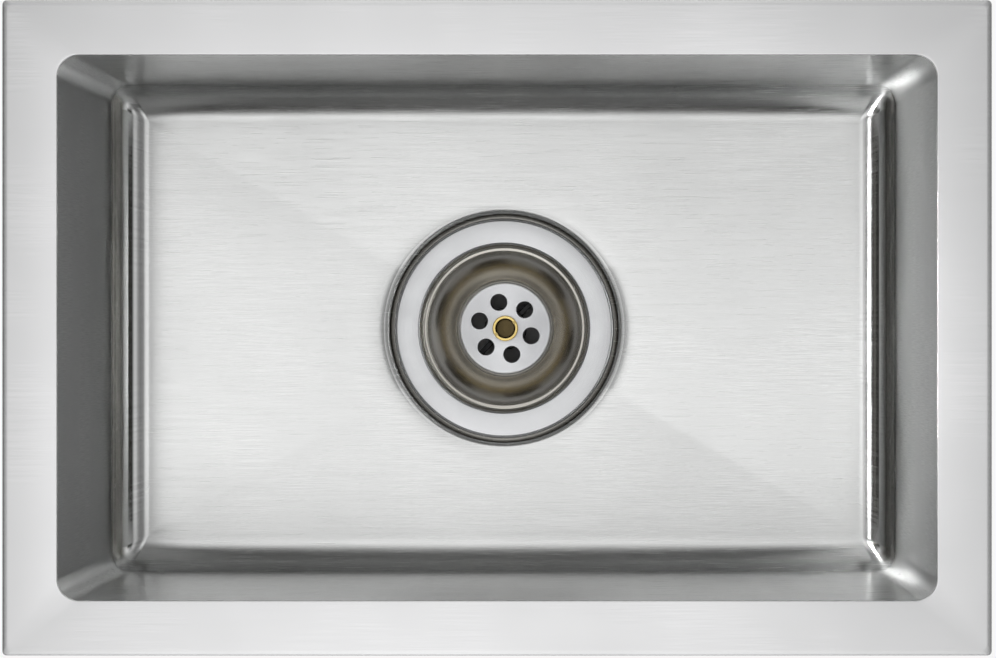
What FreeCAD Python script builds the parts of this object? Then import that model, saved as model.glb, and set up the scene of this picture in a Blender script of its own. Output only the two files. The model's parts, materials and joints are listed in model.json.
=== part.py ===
import FreeCAD, Part
import math
import os

# Undermount kitchen sink: one brushed stainless bowl seam-welded under a flat rim, with its basket waste,
# sound pads and the swing-out clips that hold it up to a worktop. The waste stands open, with no basket.
# Millimetres. Origin: centre of the bowl's opening, in the plane of the rim's top face, which is the face
# that is sealed to the worktop's underside. +X runs along the bowl's length, +Y to the back, +Z up.

# Bowl: a pressed sheet with a coved floor, tight vertical corners and a floor creased towards the waste
bowl_length = 400.0
bowl_width = 248.0
bowl_depth = 200.0          # rim's top face to the edge of the floor
bowl_sheet = 1.0
bowl_corner_r = 10.0
cove_r = 16.5               # bend between floor and walls
floor_fall = 4.0            # how far the floor's creases would sink at the middle
floor_margin = 1.0          # flat strip between the cove and the creased facets

# Rim: a flat frame that the bowl's walls are welded to from below
rim_land = 25.0             # width of the flat rim all round
rim_sheet = 1.2
rim_corner_r = 2.0

# Recess pressed into the floor for the waste
recess_gap = 2.05           # cup's flange to the recess's wall
recess_depth = 7.0          # edge of the floor to the recess's seat
recess_bend_r = 2.0
shoulder_r = 3.0
waste_hole_r = 45.0
joint_margin = 0.05         # keeps the shoulder's top clear of the facets it blends into

# Strainer cup: a turned stainless pressing whose flange sits on a seal in the recess
cup_sheet = 1.0
cup_flange_r = 56.75
flange_bend_r = 2.0
lip_gap = 0.3               # turned-down lip to the recess's seat
mouth_clearance = 1.0       # outside of the mouth to the waste hole
mouth_bend_r = 1.5
ledge_drop = 9.0            # flange's top to the ledge that a basket's seal closes on
ledge_width = 0.6           # flat part, between its two bends
ledge_bend_r = 2.0
throat_bend_r = 1.2
cup_curve_r = 33.0
neck_r = 25.4
neck_bend_r = 1.5
neck_length = 2.9
seat_bend_r = 0.8
seat_hole_r = 20.5

# Strainer plate: a shallow perforated disc that stands on the cup's neck seat
plate_sheet = 1.0
plate_bend_r = 1.5
plate_gap = 0.1             # plate to the cup's neck, and to the screw
plate_height = 2.0          # neck seat to the plate's top
drain_hole_r = 4.5
drain_hole_count = 6
drain_ring_r = 14.1
drain_ring_turn = 44.0      # degrees from +X to the first hole

# Centre screw: a hollow slotted brass screw that draws the two halves of the waste together
screw_shank_r = 6.0
screw_wall = 1.4
screw_mouth_flare = 0.7     # bore to the mouth of the head
screw_head_step = 0.7       # shank to the rim of the head
screw_head_height = 2.2
screw_length = 20.0         # below the head
screw_floor = 3.0
screw_edge = 0.4
slot_width = 1.5
slot_depth = 1.2
slot_turn = 33.0            # degrees from +X
thread_clearance = 0.05

# Seals
cup_seal_thickness = 1.5
cup_seal_edge = 1.25        # cup's turned-down lip to the seal
body_seal_thickness = 2.0
body_seal_edge = 1.0        # rim of the body's flange to the seal
seal_inset = 1.0            # waste hole to both seals

# Waste body: a moulded funnel with a threaded outlet and a boss on four ribs
body_flange_step = 0.25     # edge of the cup's flange to the rim of the body's
body_flange_thickness = 4.0
body_wall = 3.0
body_mouth_clearance = 1.5  # outside of the cup's mouth to the body
body_collar = 7.0           # straight part below the body's top
body_waist_clearance = 3.6  # outside of the cup's neck to the body
body_waist_gap = 0.3        # cup's underside to the level of the waist
body_shoulder = 10.0        # waist down to the outlet
outlet_bore_r = 20.0
outlet_thread_r = 23.9
outlet_length = 22.0
outlet_edge = 1.0
boss_wall = 2.5
boss_drop = 6.5             # plate's underside to the boss's top
well_clearance = 0.5        # screw's shank to the well below the insert
well_gap = 1.0              # screw's end to the well's floor
rib_thickness = 2.5
rib_height = 9.0
rib_count = 4
gusset_thickness = 2.5
gusset_count = 8
gusset_inset = 1.5          # rim of the flange to the gussets

# Threaded insert in the boss
insert_wall = 2.45
insert_length = 12.0

# Sound pads, glued to the outside of the bowl
pad_thickness = 3.0
pad_corner_r = 8.0
wall_pad_end = 70.0         # end of a long wall to its pad
side_pad_end = 54.0         # end of a short wall to its pad
wall_pad_drop = 50.0        # rim's top face to the pads
wall_pad_rise = 25.0        # top of the cove to the pads
floor_pad_inset = 6.0
floor_pad_gap = 6.0         # recess's shoulder to the pads
floor_pad_split = 8.0

# Studs, clips, washers and nuts under the rim
stud_r = 3.0
stud_length = 16.0
stud_edge = 0.6
stud_end = 70.0             # end of the bowl to the studs of a long side
clip_sheet = 2.0
clip_side_gap = 2.0         # parked clip to the bowl's wall
clip_heel_gap = 1.0         # swung-out clip's heel to the bowl's wall
clip_top_gap = 0.15
clip_ramp_start = 1.5       # past the rim's edge when swung out
clip_ramp = 4.0
clip_screw_reach = 20.0     # rim's edge to the worktop screw when swung out
clip_tip = 10.0
clip_tip_r = 6.0
clip_screw_r = 2.5
stud_clearance = 0.15
stack_gap = 0.1             # between clip, washer and nut, which are left finger-loose
washer_r = 6.0
washer_thickness = 1.6
nut_flats = 10.0
nut_height = 5.0
nut_edge = 0.5

# What follows from the driving sizes
rim_length = bowl_length + 2 * rim_land
rim_width = bowl_width + 2 * rim_land
crease_half_length = bowl_length / 2 - cove_r - floor_margin
crease_half_width = bowl_width / 2 - cove_r - floor_margin
recess_r = cup_flange_r + recess_gap
seat_z = -(bowl_depth + recess_depth)
cup_top = seat_z + cup_seal_thickness + cup_sheet
mouth_r = waste_hole_r - mouth_clearance - cup_sheet
throat_r = mouth_r - ledge_bend_r - ledge_width - throat_bend_r
seal_inner_r = waste_hole_r + seal_inset
ledge_z = cup_top - ledge_drop
cup_curve_z = ledge_z - throat_bend_r
cup_curve_turn = math.acos((neck_r + neck_bend_r - throat_r + cup_curve_r) / (cup_curve_r + neck_bend_r))
neck_z = cup_curve_z - (cup_curve_r + neck_bend_r) * math.sin(cup_curve_turn)
neck_seat_z = neck_z - neck_length
plate_r = neck_r - seat_bend_r - plate_gap
plate_top = neck_seat_z + plate_height
plate_under = plate_top - plate_sheet
screw_bore_r = screw_shank_r - screw_wall
screw_mouth_r = screw_bore_r + screw_mouth_flare
screw_head_r = screw_shank_r + screw_head_step
screw_end = plate_top - screw_length
boss_top = plate_under - boss_drop
insert_r = screw_shank_r + thread_clearance + insert_wall
insert_z = boss_top - insert_length
boss_r = insert_r + boss_wall
well_z = min(insert_z, screw_end) - well_gap
boss_bottom = well_z - boss_wall
body_flange_r = cup_flange_r - body_flange_step
body_mouth_r = mouth_r + cup_sheet + body_mouth_clearance
body_waist_r = neck_r + cup_sheet + body_waist_clearance
body_top = seat_z - bowl_sheet - body_seal_thickness
waist_z = neck_seat_z - cup_sheet - body_waist_gap
outlet_top = waist_z - body_shoulder
outlet_end = outlet_top - outlet_length
stud_offset = (rim_land - bowl_sheet) / 2       # rim's edge to a stud, and a stud to the bowl's wall
clip_half_width = stud_offset - clip_side_gap
clip_heel = stud_offset - clip_heel_gap
foot_top = -rim_sheet - clip_top_gap
clip_top = foot_top - rim_sheet                 # the foot stands up by the rim's own thickness
washer_top = clip_top - clip_sheet - stack_gap
nut_top = washer_top - washer_thickness - stack_gap

UP = FreeCAD.Vector(0, 0, 1)
CENTRE = FreeCAD.Vector(0, 0, 0)


def block(x_low, x_high, y_low, y_high, z_low, z_high):
    """A box between two corners."""
    return Part.makeBox(x_high - x_low, y_high - y_low, z_high - z_low, FreeCAD.Vector(x_low, y_low, z_low))


def upright_edges(shape):
    """The shape's straight edges that run along Z."""
    return [e for e in shape.Edges if abs(e.tangentAt(e.FirstParameter).z) > 0.999 and len(e.Vertexes) == 2]


def rounded_block(length, width, corner_r, z_low, z_high):
    """A box centred on the Z axis, with its four upright edges rounded."""
    plain = block(-length / 2, length / 2, -width / 2, width / 2, z_low, z_high)
    return plain.makeFillet(corner_r, upright_edges(plain))


def disc(r, z_low, z_high):
    """A cylinder on the Z axis."""
    return Part.makeCylinder(r, z_high - z_low, FreeCAD.Vector(0, 0, z_low))


def bend(centre_r, centre_z, radius, from_deg, to_deg):
    """Start, middle and end of an arc in a turned section; 0 degrees points outwards and 90 upwards."""
    turns = [math.radians(turn) for turn in (from_deg, (from_deg + to_deg) / 2, to_deg)]
    centre = FreeCAD.Vector(centre_r, 0, centre_z)
    return [centre + FreeCAD.Vector(math.cos(turn), 0, math.sin(turn)) * radius for turn in turns]


def turned(stations):
    """A solid of revolution about Z, whose section joins (r, z) corners and bend() arcs by straight lines."""
    runs = [s if isinstance(s, list) else [FreeCAD.Vector(s[0], 0, s[1])] for s in stations]
    edges = []
    for run, after in zip(runs, runs[1:] + runs[:1]):
        if len(run) == 3:
            edges.append(Part.Arc(*run).toShape())
        if run[-1].distanceToPoint(after[0]) > 1e-6:
            edges.append(Part.LineSegment(run[-1], after[0]).toShape())
    return Part.Face(Part.Wire(edges)).revolve(CENTRE, UP, 360)


def back_along(stations):
    """The same section line, walked from its far end."""
    return [s[::-1] if isinstance(s, list) else s for s in reversed(stations)]


def ring(inner_r, outer_r, z_low, z_high):
    """A flat ring on the Z axis."""
    return disc(outer_r, z_low, z_high).cut(disc(inner_r, z_low, z_high))


def coved_hollow(grow, z_top):
    """The space inside the bowl, grown outwards: floor edges coved, then upright corners rolled into them."""
    half_length = bowl_length / 2 + grow
    half_width = bowl_width / 2 + grow
    floor_z = -bowl_depth - grow
    plain = block(-half_length, half_length, -half_width, half_width, floor_z, z_top)
    floor_edges = [e for e in plain.Edges if abs(e.CenterOfMass.z - floor_z) < 1e-6]
    coved = plain.makeFillet(cove_r + grow, floor_edges)
    corner_x = half_length - cove_r - grow
    corner_y = half_width - cove_r - grow
    corners = [e for e in coved.Edges
               if abs(e.CenterOfMass.x) > corner_x + 1e-3 and abs(e.CenterOfMass.y) > corner_y + 1e-3
               and abs(e.Vertexes[0].Z - e.Vertexes[-1].Z) > 1e-3]
    return coved.makeFillet(bowl_corner_r + grow, corners)


def above_facets(drop):
    """The space just above the floor's four creased facets, lowered by drop: a pyramid under a block."""
    base_z = -bowl_depth - drop
    base = [FreeCAD.Vector(x, y, base_z) for x, y in (
        (-crease_half_length, -crease_half_width), (crease_half_length, -crease_half_width),
        (crease_half_length, crease_half_width), (-crease_half_length, crease_half_width))]
    apex = FreeCAD.Vector(0, 0, base_z - floor_fall)
    faces = [Part.Face(Part.makePolygon([a, b, apex, a])) for a, b in zip(base, base[1:] + base[:1])]
    faces.append(Part.Face(Part.makePolygon(base + base[:1])))
    pyramid = Part.makeSolid(Part.makeShell(faces))
    top = block(-crease_half_length, crease_half_length, -crease_half_width, crease_half_width,
                base_z, base_z + cove_r)
    return pyramid.fuse(top).removeSplitter()


def recess_hollow(grow):
    """The recess for the waste, grown outwards: rounded shoulder, straight wall and a bend to the seat."""
    shoulder_reach = recess_r + shoulder_r
    fall_there = floor_fall * (1 - shoulder_reach / crease_half_width)
    shoulder_z = -bowl_depth - fall_there + joint_margin - grow
    return turned([
        (0, shoulder_z),
        bend(shoulder_reach, shoulder_z - shoulder_r + grow, shoulder_r - grow, 90, 180),
        bend(recess_r - recess_bend_r, seat_z + recess_bend_r, recess_bend_r + grow, 0, -90),
        (0, seat_z - grow)])


def bowl():
    """Walls, coved floor, creased facets and recess in one even sheet, open at the top and at the waste."""
    outside = coved_hollow(bowl_sheet, -rim_sheet).fuse([above_facets(bowl_sheet), recess_hollow(bowl_sheet)])
    inside = coved_hollow(0, rim_sheet).fuse([above_facets(0), recess_hollow(0)])
    hole = disc(waste_hole_r, seat_z - 2 * bowl_sheet, seat_z + bowl_sheet)
    return outside.cut(inside).cut(hole)


def rim_plate():
    """Flat frame, its opening in line with the bowl's walls."""
    plate = rounded_block(rim_length, rim_width, rim_corner_r, -rim_sheet, 0)
    return plate.cut(rounded_block(bowl_length, bowl_width, bowl_corner_r, -2 * rim_sheet, rim_sheet))


def cup_line(under):
    """The cup's section line from lip to neck seat: under 0 is the top side, cup_sheet the underside."""
    turn = math.degrees(cup_curve_turn)
    neck_bend_centre_r = neck_r + neck_bend_r
    return [
        (cup_flange_r - under, seat_z + lip_gap),
        bend(cup_flange_r - flange_bend_r, cup_top - flange_bend_r, flange_bend_r - under, 0, 90),
        bend(mouth_r + mouth_bend_r, cup_top - mouth_bend_r, mouth_bend_r - under, 90, 180),
        bend(mouth_r - ledge_bend_r, ledge_z + ledge_bend_r, ledge_bend_r + under, 0, -90),
        bend(throat_r + throat_bend_r, cup_curve_z, throat_bend_r - under, 90, 180),
        bend(throat_r - cup_curve_r, cup_curve_z, cup_curve_r + under, 0, -turn),
        bend(neck_bend_centre_r, neck_z, neck_bend_r - under, 180 - turn, 180),
        bend(neck_r - seat_bend_r, neck_seat_z + seat_bend_r, seat_bend_r + under, 0, -90),
        (seat_hole_r, neck_seat_z - under)]


def strainer_cup():
    """Flange with a turned-down lip, straight mouth, ledge, rounded bowl and short neck, in one sheet."""
    return turned(cup_line(0) + back_along(cup_line(cup_sheet)))


def strainer_plate():
    """Flat disc with a turned-down edge, six drain holes and a hole for the centre screw."""
    edge_r = plate_r - plate_bend_r
    edge_z = plate_top - plate_bend_r
    plate = turned([
        (screw_shank_r + plate_gap, plate_top),
        bend(edge_r, edge_z, plate_bend_r, 90, 0),
        (plate_r, neck_seat_z),
        (plate_r - plate_sheet, neck_seat_z),
        bend(edge_r, edge_z, plate_bend_r - plate_sheet, 0, 90),
        (screw_shank_r + plate_gap, plate_under)])
    hole = disc(drain_hole_r, plate_under - plate_sheet, plate_top + plate_sheet)
    hole.translate(FreeCAD.Vector(drain_ring_r, 0, 0))
    for n in range(drain_hole_count):
        plate = plate.cut(hole.rotated(CENTRE, UP, drain_ring_turn + n * 360 / drain_hole_count))
    return plate


def centre_screw():
    """Hollow screw, blind at its lower end, with a slot across its head."""
    head_top = plate_top + screw_head_height
    screw = turned([
        (0, screw_end),
        (screw_shank_r - screw_edge, screw_end),
        (screw_shank_r, screw_end + screw_edge),
        (screw_shank_r, plate_top),
        (screw_head_r, plate_top),
        (screw_head_r, head_top - screw_edge),
        (screw_head_r - screw_edge, head_top),
        (screw_mouth_r, head_top),
        (screw_bore_r, plate_top),
        (screw_bore_r, screw_end + screw_floor),
        (0, screw_end + screw_floor)])
    slot = block(-2 * screw_head_r, 2 * screw_head_r, -slot_width / 2, slot_width / 2,
                 head_top - slot_depth, head_top + slot_depth)
    return screw.cut(slot.rotated(CENTRE, UP, slot_turn))


def thread_insert():
    """Brass bush that the centre screw screws into."""
    return ring(screw_shank_r + thread_clearance, insert_r, insert_z, boss_top)


def cup_seal():
    """Flat ring between the recess's seat and the cup's flange."""
    outer_r = cup_flange_r - cup_sheet - cup_seal_edge
    return ring(seal_inner_r, outer_r, seat_z, seat_z + cup_seal_thickness)


def body_seal():
    """Flat ring between the underside of the recess and the waste body."""
    return ring(seal_inner_r, body_flange_r - body_seal_edge, body_top, body_top + body_seal_thickness)


def waste_body():
    """Moulded funnel: clamping flange with gussets, cone, threaded outlet, and a boss on ribs inside it."""
    flange_under = body_top - body_flange_thickness
    collar_z = body_top - body_collar
    outside = turned([
        (0, body_top),
        (body_flange_r, body_top),
        (body_flange_r, flange_under),
        (body_mouth_r + body_wall, flange_under),
        (body_mouth_r + body_wall, collar_z),
        (body_waist_r + body_wall, waist_z),
        (outlet_thread_r, outlet_top),
        (outlet_thread_r, outlet_end + outlet_edge),
        (outlet_thread_r - outlet_edge, outlet_end),
        (0, outlet_end)])
    mid_wall_r = body_mouth_r + body_wall / 2
    corners = [FreeCAD.Vector(r, -gusset_thickness / 2, z) for r, z in (
        (mid_wall_r, flange_under),
        (body_flange_r - gusset_inset, flange_under),
        ((body_mouth_r + body_waist_r + body_wall) / 2, (waist_z + collar_z) / 2),
        (mid_wall_r, collar_z))]
    gusset = Part.Face(Part.makePolygon(corners + corners[:1]))
    gusset = gusset.extrude(FreeCAD.Vector(0, gusset_thickness, 0))
    gussets = [gusset.rotated(CENTRE, UP, n * 360 / gusset_count) for n in range(gusset_count)]
    inside = turned([
        (0, body_top + body_wall),
        (body_mouth_r, body_top + body_wall),
        (body_mouth_r, collar_z),
        (body_waist_r, waist_z),
        (outlet_bore_r, outlet_top),
        (outlet_bore_r, outlet_end - body_wall),
        (0, outlet_end - body_wall)])
    shell = outside.fuse(gussets).cut(inside)
    rib_reach = (outlet_bore_r + outlet_thread_r) / 2
    rib = block(0, rib_reach, -rib_thickness / 2, rib_thickness / 2, boss_bottom, boss_bottom + rib_height)
    ribs = [rib.rotated(CENTRE, UP, (n + 0.5) * 360 / rib_count) for n in range(rib_count)]
    boss = disc(boss_r, boss_bottom, boss_top)
    pocket = disc(insert_r + thread_clearance, insert_z, boss_top)
    well = disc(screw_shank_r + well_clearance, well_z, boss_top)
    return shell.fuse(ribs + [boss]).cut([pocket, well]).removeSplitter()


def floor_pads():
    """The two pads under the floor, which follow its facets and leave room round the recess."""
    pad_half_length = crease_half_length - floor_pad_inset
    pad_half_width = crease_half_width - floor_pad_inset
    z_low = -bowl_depth - bowl_sheet - floor_fall - 2 * pad_thickness
    outline = rounded_block(2 * pad_half_length, 2 * pad_half_width, pad_corner_r, z_low, -bowl_depth)
    layer = outline.common(above_facets(bowl_sheet + pad_thickness)).cut(above_facets(bowl_sheet))
    layer = layer.cut(disc(recess_r + shoulder_r + floor_pad_gap, z_low, -bowl_depth))
    halves = []
    for side in (-1, 1):
        near, far = sorted((side * floor_pad_split / 2, side * bowl_length))
        halves.append(layer.common(block(near, far, -bowl_width, bowl_width, z_low, -bowl_depth)))
    return halves


def wall_pad(wall_length, end_gap, wall_distance, turn):
    """A flat pad on the outside of one wall, its corners rounded; turn is the way the wall faces, from +X."""
    z_low = -(bowl_depth - cove_r - wall_pad_rise)
    half = wall_length / 2 - end_gap
    near = wall_distance + bowl_sheet
    plain = block(near, near + pad_thickness, -half, half, z_low, -wall_pad_drop)
    across = [e for e in plain.Edges if abs(e.tangentAt(e.FirstParameter).x) > 0.999]
    return plain.makeFillet(pad_corner_r, across).rotated(CENTRE, UP, turn)


def clip(hand):
    """A clip lying along +X with its stud hole at the origin; it swings out to the side that hand gives.
    A joggled strip: low where the washer clamps it, raised past the rim's edge to meet the worktop. The
    heel's outer corner is square, and stops against the bowl's wall just past square-on."""
    ramp_from = stud_offset + clip_ramp_start
    ramp_to = ramp_from + clip_ramp
    screw_at = stud_offset + clip_screw_reach
    tip = screw_at + clip_tip
    rise = foot_top - clip_top
    half = clip_half_width
    side = [FreeCAD.Vector(x, -half, z) for x, z in (
        (-clip_heel, clip_top), (ramp_from, clip_top), (ramp_to, clip_top + rise), (tip, clip_top + rise),
        (tip, clip_top + rise - clip_sheet), (ramp_to, clip_top + rise - clip_sheet),
        (ramp_from, clip_top - clip_sheet), (-clip_heel, clip_top - clip_sheet))]
    strip = Part.Face(Part.makePolygon(side + side[:1])).extrude(FreeCAD.Vector(0, 2 * half, 0))

    def corner_edge(x, y):
        return [e for e in upright_edges(strip)
                if abs(e.CenterOfMass.x - x) < 1e-6 and abs(e.CenterOfMass.y - y) < 1e-6]

    strip = strip.makeFillet(clip_tip_r, corner_edge(tip, half) + corner_edge(tip, -half))
    strip = strip.makeFillet(clip_half_width - joint_margin, corner_edge(-clip_heel, -hand * half))
    z_low, z_high = clip_top - 2 * clip_sheet, foot_top + clip_sheet
    screw_hole = disc(clip_screw_r, z_low, z_high)
    screw_hole.translate(FreeCAD.Vector(screw_at, 0, 0))
    return strip.cut([disc(stud_r + stud_clearance, z_low, z_high), screw_hole])


def weld_stud():
    """Threaded stud, welded to the rim's underside."""
    low = -rim_sheet - stud_length
    return turned([(0, -rim_sheet), (stud_r, -rim_sheet), (stud_r, low + stud_edge),
                   (stud_r - stud_edge, low), (0, low)])


def washer():
    """Flat washer between clip and nut."""
    return ring(stud_r + stud_clearance, washer_r, washer_top - washer_thickness, washer_top)


def hex_nut():
    """Hexagon nut with its corners turned off above and below."""
    corner_r = nut_flats / 2 / math.cos(math.radians(30))
    low = nut_top - nut_height
    points = [FreeCAD.Vector(corner_r * math.cos(math.radians(60 * n)),
                             corner_r * math.sin(math.radians(60 * n)), low) for n in range(6)]
    prism = Part.Face(Part.makePolygon(points + points[:1])).extrude(FreeCAD.Vector(0, 0, nut_height))
    turned_off = turned([
        (stud_r + thread_clearance, low), (corner_r - nut_edge, low), (corner_r, low + nut_edge),
        (corner_r, nut_top - nut_edge), (corner_r - nut_edge, nut_top), (stud_r + thread_clearance, nut_top)])
    return prism.common(turned_off)


def stud_places():
    """Name, place, parked direction from +X in degrees, and hand of each clip."""
    long_y = bowl_width / 2 + bowl_sheet + stud_offset
    short_x = bowl_length / 2 + bowl_sheet + stud_offset
    spread = bowl_length / 2 - stud_end
    return [
        ("front_left", -spread, -long_y, 0, -1),
        ("front_right", spread, -long_y, 180, 1),
        ("back_left", -spread, long_y, 0, 1),
        ("back_right", spread, long_y, 180, -1),
        ("left_side", -short_x, 0, 90, 1),
        ("right_side", short_x, 0, 90, -1)]


def at_each_stud(shape):
    """One copy of a shape at every stud, as one group of separate solids."""
    copies = [shape.translated(FreeCAD.Vector(x, y, 0)) for _, x, y, _, _ in stud_places()]
    return Part.makeCompound(copies)


def clips():
    """Every clip, parked along the rim's edge, by node name."""
    placed = {}
    for name, x, y, turn, hand in stud_places():
        placed["clip_" + name] = clip(hand).rotated(CENTRE, UP, turn).translated(FreeCAD.Vector(x, y, 0))
    return placed


def main():
    pad_left, pad_right = floor_pads()
    nodes = {
        "bowl": bowl(),
        "rim_plate": rim_plate(),
        "strainer_cup": strainer_cup(),
        "strainer_plate": strainer_plate(),
        "centre_screw": centre_screw(),
        "thread_insert": thread_insert(),
        "cup_seal": cup_seal(),
        "body_seal": body_seal(),
        "waste_body": waste_body(),
        "floor_pad_left": pad_left,
        "floor_pad_right": pad_right,
        "wall_pad_right": wall_pad(bowl_width, side_pad_end, bowl_length / 2, 0),
        "wall_pad_back": wall_pad(bowl_length, wall_pad_end, bowl_width / 2, 90),
        "wall_pad_left": wall_pad(bowl_width, side_pad_end, bowl_length / 2, 180),
        "wall_pad_front": wall_pad(bowl_length, wall_pad_end, bowl_width / 2, 270),
        "weld_studs": at_each_stud(weld_stud()),
        "washers": at_each_stud(washer()),
        "hex_nuts": at_each_stud(hex_nut()),
    }
    nodes.update(clips())
    os.makedirs("parts", exist_ok=True)
    for name, shape in nodes.items():
        shape.exportStep("parts/" + name + ".step")


main()
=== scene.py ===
import json
import math

import bmesh
import bpy
import numpy as np
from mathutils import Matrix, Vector


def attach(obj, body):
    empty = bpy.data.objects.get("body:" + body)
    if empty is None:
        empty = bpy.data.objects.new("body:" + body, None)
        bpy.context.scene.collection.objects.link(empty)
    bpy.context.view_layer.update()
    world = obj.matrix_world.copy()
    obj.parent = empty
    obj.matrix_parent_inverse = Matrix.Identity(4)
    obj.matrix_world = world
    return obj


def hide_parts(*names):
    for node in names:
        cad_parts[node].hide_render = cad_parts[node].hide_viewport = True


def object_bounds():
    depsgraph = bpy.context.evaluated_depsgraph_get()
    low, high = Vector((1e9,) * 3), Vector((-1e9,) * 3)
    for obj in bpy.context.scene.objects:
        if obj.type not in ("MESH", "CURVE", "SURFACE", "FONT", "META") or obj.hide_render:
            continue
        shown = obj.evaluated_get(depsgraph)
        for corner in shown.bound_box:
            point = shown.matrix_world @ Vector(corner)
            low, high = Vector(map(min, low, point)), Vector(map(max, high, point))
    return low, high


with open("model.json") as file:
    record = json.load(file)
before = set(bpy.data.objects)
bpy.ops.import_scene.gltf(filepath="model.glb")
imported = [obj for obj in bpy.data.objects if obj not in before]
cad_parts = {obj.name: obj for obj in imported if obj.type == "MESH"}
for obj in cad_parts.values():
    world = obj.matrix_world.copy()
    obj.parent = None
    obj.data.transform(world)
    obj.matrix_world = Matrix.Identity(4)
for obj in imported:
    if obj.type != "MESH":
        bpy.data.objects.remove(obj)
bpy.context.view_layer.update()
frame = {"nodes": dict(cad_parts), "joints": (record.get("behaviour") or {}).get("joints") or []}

MM = 0.001

# ---- Bowl -------------------------------------------------------------------------------------------
# The bowl is one sheet of stainless steel, pressed with a coved floor, tight upright corners and a floor
# creased towards the waste. Its satin lines run along the bowl's length on the flat blank, so they climb
# the short walls and lie level on the long ones. Its top edge is welded to the rim's underside.
bowl_half_length, bowl_half_width, bowl_depth = 200 * MM, 124 * MM, 200 * MM
bowl_sheet, bowl_corner_r, cove_r = 1 * MM, 10 * MM, 18 * MM
bowl_top = -1.2 * MM
floor_fall, floor_margin = 4 * MM, 1 * MM
recess_r, recess_z, recess_bend_r = 58.8 * MM, -207 * MM, 2 * MM
shoulder_r, waste_hole_r = 3 * MM, 45 * MM
shoulder_dish, shoulder_dish_reach = 0.45 * MM, 3.2 * MM      # soft sinking of the floor round the recess
floor_half_length = bowl_half_length - cove_r
floor_half_width = bowl_half_width - cove_r
cove_z = cove_r - bowl_depth


def perimeter_columns(along_long, along_short, round_corner):
    """Columns round a rounded rectangle, from the middle of the right side counter-clockwise. Each has the
    signs of its quadrant, a kind (0 short side, 1 corner, 2 long side) and a share: from the side's middle
    to its end, with columns closer together near the corner, or round the corner from short to long."""
    def shares(count):
        s = np.arange(count + 1) / count
        return 0.8 * np.sin(np.pi * s / 2) + 0.2 * s

    short, long = shares(along_short), shares(along_long)
    turn = np.arange(1, round_corner) / round_corner
    kind = np.concatenate([np.zeros(len(short)), np.ones(len(turn)), np.full(len(long), 2)])
    share = np.concatenate([short, turn, long[::-1]])
    quadrants = []
    for sign_x, sign_y in ((1, 1), (-1, 1), (-1, -1), (1, -1)):
        one = np.stack([np.full(len(kind), sign_x), np.full(len(kind), sign_y), kind, share])
        quadrants.append(one[:, :-1] if sign_x * sign_y > 0 else one[:, :0:-1])
    return np.concatenate(quadrants, axis=1)


def signed(columns, x, y, z):
    """Points of the first quadrant, taken to each column's own quadrant."""
    return np.stack([x * columns[0], y * columns[1], z + 0 * x], axis=-1)


def wall_row(columns, grow, z):
    """One level of the wall: the rounded rectangle of the opening, grown outwards, at height z."""
    kind, share = columns[2], columns[3]
    r = bowl_corner_r + grow
    straight_x, straight_y = bowl_half_length - bowl_corner_r, bowl_half_width - bowl_corner_r
    turn = share * np.pi / 2
    x = np.select([kind == 0, kind == 1], [straight_x + r, straight_x + r * np.cos(turn)], share * straight_x)
    y = np.select([kind == 0, kind == 1], [share * straight_y, straight_y + r * np.sin(turn)], straight_y + r)
    return signed(columns, x, y, z)


def cove_row(columns, grow, turn):
    """One line of the cove, turn radians down from the wall. The straight coves are arcs of the cove's
    radius; in a corner a ball of the corner's radius rolls down the two coves to one point of the floor,
    and the row is the ball's arc between its two lines of contact."""
    kind, share = columns[2], columns[3]
    c, s = np.cos(turn), np.sin(turn)
    roll = cove_r - bowl_corner_r
    straight_x, straight_y = floor_half_length + roll * c, floor_half_width + roll * c
    arc, ball = cove_r + grow, bowl_corner_r + grow
    between = np.arccos(np.clip(s * s, -1, 1))
    safe = max(np.sin(between), 1e-9)
    to_short = np.sin((1 - share) * between) / safe if between > 1e-4 else 1 - share
    to_long = np.sin(share * between) / safe if between > 1e-4 else share
    x = np.select([kind == 0, kind == 1], [floor_half_length + arc * c, straight_x + ball * c * to_short],
                  share * straight_x)
    y = np.select([kind == 0, kind == 1], [share * straight_y, straight_y + ball * c * to_long],
                  floor_half_width + arc * c)
    z_corner = cove_z - roll * s - ball * s * (to_short + to_long)
    z = np.where(kind == 1, z_corner, cove_z - arc * s)
    return signed(columns, x, y, z)


def floor_height(x, y):
    """The floor's four facets: the fall grows evenly from the crease base to the middle. The creases are
    softened by taking a smooth maximum of the two shares, and the floor sinks a little round the recess."""
    crease_x, crease_y = floor_half_length - floor_margin, floor_half_width - floor_margin
    share_x, share_y = np.abs(x) / crease_x, np.abs(y) / crease_y
    soft = 0.012
    share = (share_x + share_y + np.sqrt((share_x - share_y) ** 2 + soft ** 2)) / 2
    past = np.hypot(x, y) - recess_r - shoulder_r
    dish = shoulder_dish * np.exp(-np.maximum(past, 0) / shoulder_dish_reach)
    return -bowl_depth - floor_fall * (1 - np.minimum(share, 1)) - dish


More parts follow.
